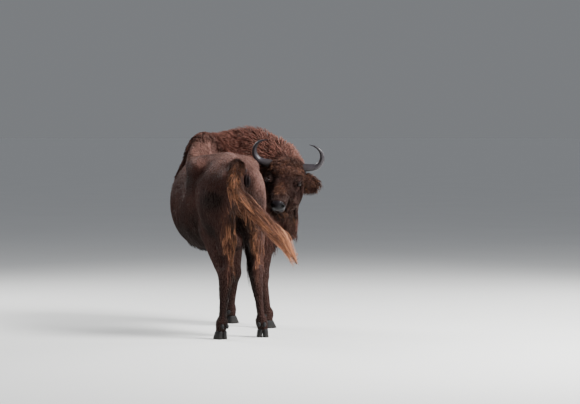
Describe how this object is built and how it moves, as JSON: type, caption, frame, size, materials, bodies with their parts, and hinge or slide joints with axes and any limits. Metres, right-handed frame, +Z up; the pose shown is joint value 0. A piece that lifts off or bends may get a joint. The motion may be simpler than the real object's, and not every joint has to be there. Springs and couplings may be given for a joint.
{
  "type": "european bison cow",
  "caption": "Life-size standing wisent cow seen from the rump, body bent to the right, horned head turned back past its flank, long brown coat and a swinging tufted tail.",
  "frame": {"origin": "on the floor, under the middle of the animal's outer box", "axes": "+X the way the rump faces forward, away from the tail, +Y to the animal's left at the rump, +Z up"},
  "size_m": [1.748, 1.272, 1.6472],
  "materials": {
    "coat": "dark brown coat, woolly on hump, neck and head, sleek on rump and legs, ginger locks on tail and breeches",
    "horn": "grey to black keratin, smooth and softly glossy",
    "hoof_horn": "worn black keratin",
    "eye": "wet dark brown"
  },
  "bodies": {
    "root": {"trunk": "coat", "neck": "coat", "head": "coat", "tail": "coat", "leg_hind_left": "coat", "leg_hind_right": "coat", "leg_fore_left": "coat", "leg_fore_right": "coat", "ear_left": "coat", "ear_right": "coat", "eye_left": "eye", "eye_right": "eye", "horn_left": "horn", "horn_right": "horn", "hoof_hind_left_left": "hoof_horn", "hoof_hind_left_right": "hoof_horn", "hoof_hind_right_left": "hoof_horn", "hoof_hind_right_right": "hoof_horn", "hoof_fore_left_left": "hoof_horn", "hoof_fore_left_right": "hoof_horn", "hoof_fore_right_left": "hoof_horn", "hoof_fore_right_right": "hoof_horn", "dewclaw_hind_left_left": "hoof_horn", "dewclaw_hind_left_right": "hoof_horn", "dewclaw_hind_right_left": "hoof_horn", "dewclaw_hind_right_right": "hoof_horn", "dewclaw_fore_left_left": "hoof_horn", "dewclaw_fore_left_right": "hoof_horn", "dewclaw_fore_right_left": "hoof_horn", "dewclaw_fore_right_right": "hoof_horn"}
  },
  "joints": []
}
